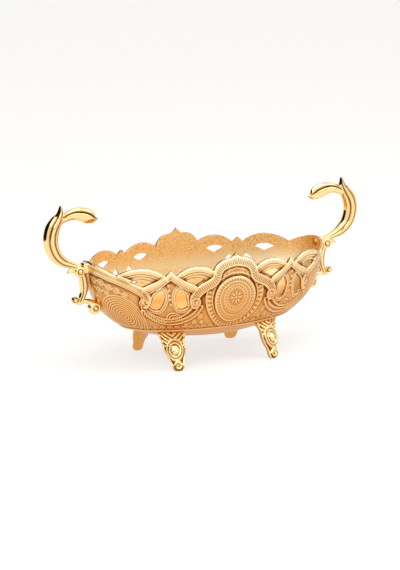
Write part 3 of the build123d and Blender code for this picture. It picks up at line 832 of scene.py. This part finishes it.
def foot_face_relief(across, height):
    """Height of the ornament over a place on a foot's face, from its step to the side of the
    middle and its height: bumps about the edge, about ovals round the boss, along two crossed
    ribbons and along chevrons, and a spiral at the toe."""
    levels, _, widths, _, _ = np.array(foot_shares).T
    inset = np.interp(height, base_height * levels, calf_half_width * widths) - np.abs(across)
    bead = 0.75 * bump(inset - 0.9, 0.6) - 0.2 * bump(inset - 2.1, 0.5)
    c, s = math.cos(boss_lean), math.sin(boss_lean)
    p, q = across * c + (height - boss_height) * s, -across * s + (height - boss_height) * c
    oval = np.hypot(p / boss_half_width, q / boss_half_height)
    turn = np.arctan2(q, p)
    petals = 1 - 0.45 * waves(5 * turn / (TURN)) * soft_step(oval - 0.25, 0.1)
    dome = 1.2 * np.sqrt(np.clip(1 - (oval / 0.72) ** 2, 0, 1)) * petals
    rings = 0.8 * bump(oval - 1.02, 0.13) + 0.6 * bump(oval - 1.5, 0.16)
    ribbons = np.zeros(across.shape)
    for hand in (1, -1):
        off = (hand * across + (height - ribbon_height)) / math.sqrt(2)
        ribbons = np.maximum(ribbons, 0.85 * bump(off, 0.85) * soft_step(oval - 1.45, 0.1))
    ribbons *= soft_step(height - 5.0, 0.6) * soft_step(14.0 - height, 0.8)
    chevron = height - pleat_height - 0.75 * np.abs(across)
    pleats = 0.7 * waves(chevron / 3.4) * soft_step(oval - 1.6, 0.1) * soft_step(height - 19, 0.8)
    over_toe = height - toe_scroll_height
    toe_r, pitch = np.hypot(across, over_toe), 2.4
    wave = toe_r / pitch - np.arctan2(over_toe, across) / (TURN)
    scroll = 0.8 * bump((wave - np.round(wave)) * pitch, 0.6) * soft_step(3.4 - toe_r, 0.3)
    return (np.maximum.reduce([dome, rings, ribbons, pleats, scroll]) + bead) * soft_step(inset - 0.1, 0.3)


def foot_rings():
    """The front right foot: level sections, each an arc in front, an arc behind and a narrow
    edge between, carried up a line that leans in, with the face pushed out along its normal."""
    shares = smooth_line(foot_shares, 150)
    height = np.clip(shares[:, 0], 0, None) * base_height
    back, wide = shares[:, 1] * foot_lean, shares[:, 2] * calf_half_width
    front, rear = shares[:, 3] * calf_depth - foot_edge, shares[:, 4] * calf_depth - foot_edge
    face_x, face_y, across = lens_arc(wide[:, None], front[:, None], face_columns)
    rear_x, rear_y, _ = lens_arc(wide[:, None], rear[:, None], rear_columns)
    along_x, along_y = np.gradient(face_x, axis=1), np.gradient(face_y, axis=1)
    size = np.hypot(along_x, along_y)
    level = np.broadcast_to(height[:, None], across.shape)
    lift = foot_face_relief(across, level) * soft_step(level - 0.9, 0.5)
    face_x = face_x + lift * along_y / size
    face_y = face_y - lift * along_x / size
    x = np.concatenate([face_x, -rear_x], axis=1)
    y = np.concatenate([face_y + foot_edge, -rear_y - foot_edge], axis=1)
    turn = math.pi + foot_turn
    c, s = math.cos(turn), math.sin(turn)
    world_x = toe_x + x * c - y * s
    world_y = back[:, None] - toe_y + x * s + y * c
    rings = np.stack([world_x, world_y, np.broadcast_to(height[:, None], world_x.shape)], axis=-1)[::-1]
    middle = rings[0].mean(axis=0)
    inner = np.array([middle + (rings[0] - middle) * share for share in (0.3, 0.6, 0.85)])
    rings = np.concatenate([inner, rings])
    rings[..., 2] = np.minimum(rings[..., 2], wall_height(rings[..., 0], rings[..., 1]) + foot_sink)
    shade = np.ones(rings.shape[:2])
    # Painted shade and highlight on the face: darker where its ornament lies low, lighter where it stands proud.
    shade[len(inner):, :face_columns] = np.clip(0.84 + 0.16 * lift / 0.55, 0, 1)[::-1]
    return rings, np.concatenate([shade.ravel(), [1.0, 1.0]])


def closed_tube(rings):
    """Triangles over rings of equally many places, with a fan to the middle at both ends."""
    count = len(rings[0])
    places, triangles = closed_rings(rings)
    j = np.arange(count)
    top = np.column_stack([np.full(count, len(places)), j, (j + 1) % count])
    return np.vstack([places, rings[0].mean(axis=0)]), np.vstack([triangles, top])


foot_grid, foot_shade = foot_rings()
foot_places, foot_faces = closed_tube(foot_grid)
foot_index = np.arange(len(foot_places))
on_face = (foot_index % (face_columns + rear_columns) < face_columns) & (foot_index < len(foot_places) - 2)
foot_slots = np.where(on_face[foot_faces].all(axis=1), 0, 1).astype(np.int32)

# Yellow gold plate over a buffed casting: a mirror with a faint ripple about 7 mm long, since it is buffed by
# hand. Its colour is painted from the shade value of each piece: a painted highlight, pale, on what stands
# proud, and painted shade, dark brown, in the hollows, flutes and creases.
polished = gilt("yellow gold plate, polished", [
    (0.78, "#3C1A08"), (0.86, "#A8662C"), (0.94, "#EDC98A"), (1.0, "#F5DCA0"),
], 0.15, 0.13, 0.12, 0.5, by_painted_shade=True)
# Rose gold plate where nobody buffs it, on the backs of the feet and the screws: satin, deeper,
# with a grain about a millimetre wide, coarser than it is, so that it shows.
plain = gilt("rose gold plate, unbuffed", [(0.3, "#DE9A48"), (0.7, "#EFB466")], 0.9, 0.38, 0.2)

for corner, x_side, y_side in (
    ("front_right", 1, 1), ("front_left", -1, 1), ("rear_right", 1, -1), ("rear_left", -1, -1),
):
    faces = foot_faces if x_side * y_side > 0 else foot_faces[:, ::-1]
    foot = new_mesh(f"{corner}_leaf_foot", foot_places * [x_side, y_side, 1], faces, relief_shade=foot_shade)
    foot.data.materials.append(polished)
    foot.data.materials.append(plain)
    foot.data.polygons.foreach_set("material_index", foot_slots)
    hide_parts(f"{corner}_foot")
    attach(foot, body)

# Handles. One casting at each end, screwed to the bowl at a tab under the rim and at a lobe lower
# down. A fluted horn sweeps up from a rosette, with a creased leaf that curls back over the
# bowl and a spur, and a fluted stem runs down to a ball and to the lobe. All of it is polished.
horn_reach, horn_rise = 33.2, 57.0
leaf_rise, leaf_run = 48.3, 37.3
stem_half_depth = 5.5
end = bowl_half_length
rosette_x, rosette_height = end + 8.3, 85.5
ball_x, ball_height, ball_radius = end + 12.2, 61.4, 2.9
lobe_x, lobe_height = end - 5.6, 52.8


def limb(stations, ripple, rows, columns):
    """A cast limb in the plane of a handle: an ellipse carried along a smooth line through
    stations of place and half sizes, its radius times a ripple of turn, share of the length
    and height. Turn nought points away from the bowl on a limb that rises."""
    line = smooth_line(stations, rows)
    tangent = np.gradient(line[:, :2], axis=0)
    tangent /= np.linalg.norm(tangent, axis=1, keepdims=True)
    turn = around(columns)[None, :]
    scale = 1.0 if ripple is None else ripple(turn, np.linspace(0, 1, rows)[:, None], line[:, 1:2])
    out = np.abs(line[:, 2:3]) * np.cos(turn) * scale
    deep = np.abs(line[:, 3:4]) * np.sin(turn) * scale
    x = line[:, 0:1] + out * tangent[:, 1:2]
    z = line[:, 1:2] - out * tangent[:, 0:1]
    places, triangles = closed_tube(np.stack([x, deep, z], axis=-1)[::-1])
    # Painted shade: the colour is darker where the ripple cuts flutes, creases and shoulders into the limb.
    shade = np.broadcast_to(scale, x.shape)[::-1].ravel()
    return places, triangles, np.concatenate([shade, [1.0, 1.0]])


def turned(x, z, profile, columns=64):
    """A form turned about a level line across the handle: circles of each radius at each depth
    of the profile, from the front to the rear."""
    c, s = np.cos(around(columns)), np.sin(around(columns))
    rings = [np.column_stack([x + r * c, np.full(columns, deep), z + r * s]) for r, deep in profile]
    places, triangles = closed_tube(np.array(rings))
    # Painted shade: darker where the radius is near 2 mm, which is the groove round the button on the rosette
    # and the lobe, and a ring on the ball.
    shade = np.repeat([1 - 0.22 * bump(r - 2.05, 0.4) for r, _ in profile], columns)
    return places, triangles, np.concatenate([shade, [1.0, 1.0]])


def notch(turn, centre, width):
    """A rounded notch about a turn, on the front and the rear alike."""
    away = (turn - centre + math.pi) % (TURN) - math.pi
    mirror_away = (turn + centre + math.pi) % (TURN) - math.pi
    return bump(away, width) + bump(mirror_away, width)


def horn_ripple(turn, share, height):
    """Two flutes on each side, and near the tip the outer ridge cut off with a shoulder and
    then the inner ridge, so that a narrow blade runs on alone."""
    flutes = notch(turn, math.radians(62), 0.17) + notch(turn, math.radians(112), 0.17)
    flutes = 1 - 0.17 * flutes * soft_step(share - 0.1, 0.08)
    outer = 1 - 0.36 * soft_step(height - 132.6, 0.9) * np.clip(np.cos(turn), 0, 1)
    inner = 1 - 0.42 * soft_step(height - 137.2, 1.2) * np.clip(-np.cos(turn), 0, 1)
    return flutes * outer * inner


def leaf_ripple(turn, share, height):
    """One sharp crease along each side of the leaf, from its root to its tip, and a keel on top."""
    crease = 1 - 0.24 * notch(turn, math.radians(52) + 0.35 * share, 0.2) * soft_step(share - 0.05, 0.05)
    keel = 1 + 0.06 * bump((turn + math.pi) % (TURN) - math.pi, 0.35)
    return crease * keel


def stem_ripple(turn, share, height):
    """Two shallow flutes on each side of the lower stem."""
    return 1 - 0.15 * notch(turn, math.radians(60), 0.2) - 0.15 * notch(turn, math.radians(118), 0.2)


def stations(start, scale, *rows):
    """Stations of a limb: each row of place and half sizes times the scale, from a start."""
    return np.array(rows) * scale + [*start, 0, 0]


def both_sides(rows):
    """A turned profile from front to rear: radii and depths of one side and their mirror."""
    return [(r, -deep) for r, deep in rows] + [(r, deep) for r, deep in rows[::-1]]


def rounded_block(low, high):
    """A block with soft edges: a sphere whose sines and cosines are raised to a small power."""
    low, high = np.array(low), np.array(high)
    lift = np.linspace(math.pi / 2, -math.pi / 2, 25)[1:-1, None]
    turn = around(48)[None, :]
    power, parts = 0.32, (np.cos(lift), np.sin(lift), np.cos(turn), np.sin(turn))
    out, up, x, y = (np.sign(part) * np.abs(part) ** power for part in parts)
    unit = np.stack(np.broadcast_arrays(out * x, out * y, up), axis=-1)
    places, triangles = closed_tube((low + high) / 2 + unit * (high - low) / 2)
    return places, triangles, np.ones(len(places))


# Where the stations of each kind of limb start, and the scale of their rows.
by_horn = (end, rosette_height), (horn_reach, horn_rise, 1, stem_half_depth)
by_leaf = (end + 27.5, rosette_height), (-leaf_run, leaf_rise, 1, 1)
by_rosette = (rosette_x, rosette_height), 1
handle_forms = {
    "horn": limb(stations(
        *by_horn,
        (0.2, 0.045, 1.2, 0.3), (0.22, 0.05, 2.3, 0.55), (0.35, 0.086, 2.7, 0.62),
        (0.49, 0.118, 3.3, 0.72), (0.69, 0.17, 4.7, 0.86), (0.873, 0.27, 5.7, 0.95),
        (0.982, 0.412, 6.3, 0.98), (1.0, 0.546, 6.45, 0.98), (0.946, 0.672, 6.3, 0.98),
        (0.831, 0.784, 5.2, 0.86), (0.747, 0.886, 3.6, 0.6), (0.72, 0.975, 2.0, 0.36),
        (0.716, 0.997, 0.7, 0.16),
    ), horn_ripple, 220, 120),
    "leaf": limb(stations(
        *by_leaf,
        (0.0, 0.86, 2.2, 2.8), (0.174, 0.95, 3.4, 3.4), (0.367, 1.0, 4.5, 4.2),
        (0.555, 0.996, 5.6, 4.7), (0.748, 0.946, 6.1, 4.3), (0.87, 0.9, 4.3, 3.0),
        (0.935, 0.888, 2.0, 1.7), (0.995, 0.892, 0.5, 0.5),
    ), leaf_ripple, 160, 120),
    "spur": limb(stations(
        *by_rosette,
        (0.6, 3.2, 3.4, 3.2), (5.6, 1.7, 2.6, 2.4), (9.0, 0.2, 1.4, 1.4), (10.6, -0.9, 0.5, 0.5),
    ), None, 40, 40),
    "stem": limb(stations(
        *by_rosette,
        (-1.6, 1.0, 1.6, 2.0), (-2.4, -1.5, 3.6, 3.8), (-4.3, -8.5, 4.0, 3.8), (-4.7, -14.5, 3.8, 3.7),
        (-3.7, -19.8, 3.1, 3.4), (-1.5, -25.1, 2.3, 2.9), (0.2, -27.3, 1.0, 1.6),
    ), stem_ripple, 120, 96),
    "curl": limb(stations(
        *by_rosette,
        (-1.6, -25.7, 0.9, 1.6), (-0.6, -27.0, 1.7, 2.3), (1.6, -27.5, 1.4, 2.1), (2.9, -25.9, 1.2, 1.9),
    ), None, 40, 40),
    "arm": limb(stations(
        *by_rosette,
        (1.0, -26.7, 0.9, 1.6), (-1.0, -27.5, 1.6, 2.4), (-4.9, -26.1, 1.9, 2.7), (-9.5, -27.3, 2.6, 3.0),
        (-12.9, -29.9, 3.2, 3.1), (-13.3, -31.3, 1.2, 1.4),
    ), None, 60, 48),
    "ball": turned(ball_x, ball_height, [
        (ball_radius * math.cos(a), ball_radius * math.sin(a)) for a in np.linspace(-1.5, 1.5, 33)
    ], 48),
    "rosette": turned(rosette_x, rosette_height, both_sides([
        (0.3, 5.35), (0.9, 5.25), (1.5, 4.85), (1.85, 4.3), (2.2, 3.9), (2.7, 4.3), (3.2, 4.5),
        (3.7, 4.35), (4.2, 3.8), (4.5, 3.0), (4.6, 1.5),
    ])),
    "lobe": turned(lobe_x, lobe_height, both_sides([
        (0.3, 4.75), (0.9, 4.65), (1.5, 4.25), (1.9, 3.7), (2.2, 3.5), (2.9, 3.9), (3.7, 3.95),
        (4.5, 3.6), (5.1, 2.9), (5.5, 1.8), (5.6, 0.8),
    ])),
    "tab": rounded_block((end - 1.1, -4.2, 83.6), (end + 5.2, 4.2, 92.0)),
}

for side, sign in (("right", 1), ("left", -1)):
    for form, (places, faces, shade) in handle_forms.items():
        piece = new_mesh(f"{side}_handle_{form}", places * [sign, sign, 1], faces, relief_shade=shade)
        piece.data.materials.append(polished)
        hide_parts(f"{side}_handle")
        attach(piece, body)

# Screws. Eight plated machine screws with domed slotted heads, driven from inside the bowl.
for name in ("foot_screws", "handle_screws"):
    screws = frame["nodes"][name]
    screws.data.materials.clear()
    screws.data.materials.append(plain)

# Table top and backdrop: one white matt sheet that sweeps up behind the dish. Where the camera or
# a reflection sees it, part of its white is its own, so that it stays white and keeps a shadow.
bend = 0.35
sheet_front, sheet_back, sheet_half, sheet_top = -3.2, 3.2, 3.4, 2.4
sheet_drop = 0.05
bend_turns = np.linspace(0, math.pi / 2, 16)[1:]
profile = [(sheet_front, 0.0), (sheet_back, 0.0)]
profile += [(sheet_back + bend * math.sin(t), bend * (1 - math.cos(t))) for t in bend_turns]
profile.append((sheet_back + bend, sheet_top))
sheet_places = np.array([(x, y, z) for y, z in profile for x in (-sheet_half, sheet_half)]) / MM
low_left = np.arange(len(profile) - 1) * 2
sheet_faces = quads(low_left, low_left + 1, low_left + 3, low_left + 2)
table = new_mesh("table_sweep", sheet_places - [0, 0, sheet_drop], sheet_faces)


def seen_directly(tree):
    """One where a ray comes straight from the camera or off metal or glass, else nought."""
    path = add_node(tree, "ShaderNodeLightPath").outputs
    rays = {0: path["Is Camera Ray"], 1: path["Is Glossy Ray"]}
    either = add_node(tree, "ShaderNodeMath", rays, operation="MAXIMUM")
    rays = {0: either.outputs[0], 1: path["Is Transmission Ray"]}
    return add_node(tree, "ShaderNodeMath", rays, operation="MAXIMUM").outputs[0]


paper, tree = new_material("white matt paper")
own_white = 0.7
share = add_node(tree, "ShaderNodeMath", {0: seen_directly(tree), 1: own_white}, operation="MULTIPLY")
matt = add_node(tree, "ShaderNodeBsdfDiffuse", {"Color": linear("#FBF9F3")})
glow = add_node(tree, "ShaderNodeEmission", {"Color": linear("#FFFFFF"), "Strength": 1.0})
mixed = add_node(tree, "ShaderNodeMixShader", {0: share.outputs[0], 1: matt.outputs[0], 2: glow.outputs[0]})
add_node(tree, "ShaderNodeOutputMaterial", {"Surface": mixed.outputs[0]})
table.data.materials.append(paper)

# Black flags: dark cards that only reflections see, as a studio stands them beside bright metal
# so that its edges read. One stands low at the left and one higher behind the dish.
card, tree = new_material("black card")
matt = add_node(tree, "ShaderNodeBsdfDiffuse", {"Color": linear("#140A06")})
add_node(tree, "ShaderNodeOutputMaterial", {"Surface": matt.outputs[0]})


def flag(name, start, stop, low, high):
    """An upright dark card between two places on the floor plan."""
    corners = [(*start, low), (*stop, low), (*stop, high), (*start, high)]
    piece = new_mesh(name, np.array(corners) / MM, quads(0, 1, 2, 3))
    piece.data.materials.append(card)
    piece.visible_camera = piece.visible_diffuse = False
    piece.visible_shadow = piece.visible_transmission = False


flag("left_rear_flag", (-0.75, -0.2), (-0.22, 0.5), 0.03, 0.62)
flag("rear_flag", (-0.42, 0.85), (0.12, 0.95), 0.42, 0.95)

# Light: a pale room that lights what is matt, darker round the horizon and plain white where the
# camera or a reflection sees it, and wide soft lamps overhead, to the left and to the right.
world = bpy.data.worlds.new("studio")
bpy.context.scene.world = world
world.use_nodes = True
tree = world.node_tree
tree.nodes.clear()
direction = add_node(tree, "ShaderNodeTexCoord").outputs["Generated"]
apart = add_node(tree, "ShaderNodeSeparateXYZ", {0: direction})
height = add_node(tree, "ShaderNodeMapRange", {0: apart.outputs["Z"], "From Min": -1.0, "From Max": 1.0})
room = add_node(tree, "ShaderNodeValToRGB", {0: height.outputs[0]}, [
    (0.0, "#FFFFFF"), (0.49, "#E6E2DC"), (0.54, "#7A6A60"), (0.6, "#A89C92"), (0.72, "#F2EFEA"),
    (1.0, "#FFFFFF"),
])
dim = add_node(tree, "ShaderNodeBackground", {"Color": room.outputs["Color"], "Strength": 0.92})
white = add_node(tree, "ShaderNodeBackground", {"Color": linear("#FFFFFF"), "Strength": 1.0})
rooms = {0: seen_directly(tree), 1: dim.outputs[0], 2: white.outputs[0]}
mixed = add_node(tree, "ShaderNodeMixShader", rooms)
add_node(tree, "ShaderNodeOutputWorld", {"Surface": mixed.outputs[0]})


def soft_lamp(name, place, size, power):
    """A square area lamp that faces the middle of the bowl."""
    data = bpy.data.lights.new(name, "AREA")
    data.size, data.energy = size, power
    lamp = bpy.data.objects.new(name, data)
    lamp.location = place
    aim = np.array([0, 0, 0.06]) - np.array(place)
    tilt = math.acos(-aim[2] / np.linalg.norm(aim))
    lamp.rotation_euler = (tilt, 0, math.atan2(aim[0], -aim[1]) + math.pi)
    bpy.context.scene.collection.objects.link(lamp)


soft_lamp("left_softbox", (-0.9, -0.7, 1.1), 0.7, 6.0)
soft_lamp("right_softbox", (0.9, -0.5, 0.9), 0.6, 4.0)
soft_lamp("top_softbox", (0.1, -0.3, 1.3), 0.9, 6.5)

# Camera, from the fit to the photograph. It stands in front of the dish, to its left and a
# little above it.
camera_turn, camera_tilt = math.radians(-27.627), math.radians(13.4135)
camera_distance, aim_right, aim_up, focal = 2.0825, -0.0042939, 0.0606502, 153.97
right = np.array([math.cos(camera_turn), math.sin(camera_turn), 0])
level_ahead = np.array([-math.sin(camera_turn), math.cos(camera_turn), 0])
ahead = level_ahead * math.cos(camera_tilt) - [0, 0, math.sin(camera_tilt)]
camera_data = bpy.data.cameras.new("camera")
camera_data.lens, camera_data.sensor_width = focal, 36.0
camera = bpy.data.objects.new("camera", camera_data)
camera.location = aim_right * right + np.array([0, 0, aim_up]) - camera_distance * ahead
camera.rotation_euler = (math.pi / 2 - camera_tilt, 0, camera_turn)
bpy.context.scene.collection.objects.link(camera)
bpy.context.scene.camera = camera
bpy.context.scene.view_settings.view_transform = "Standard"
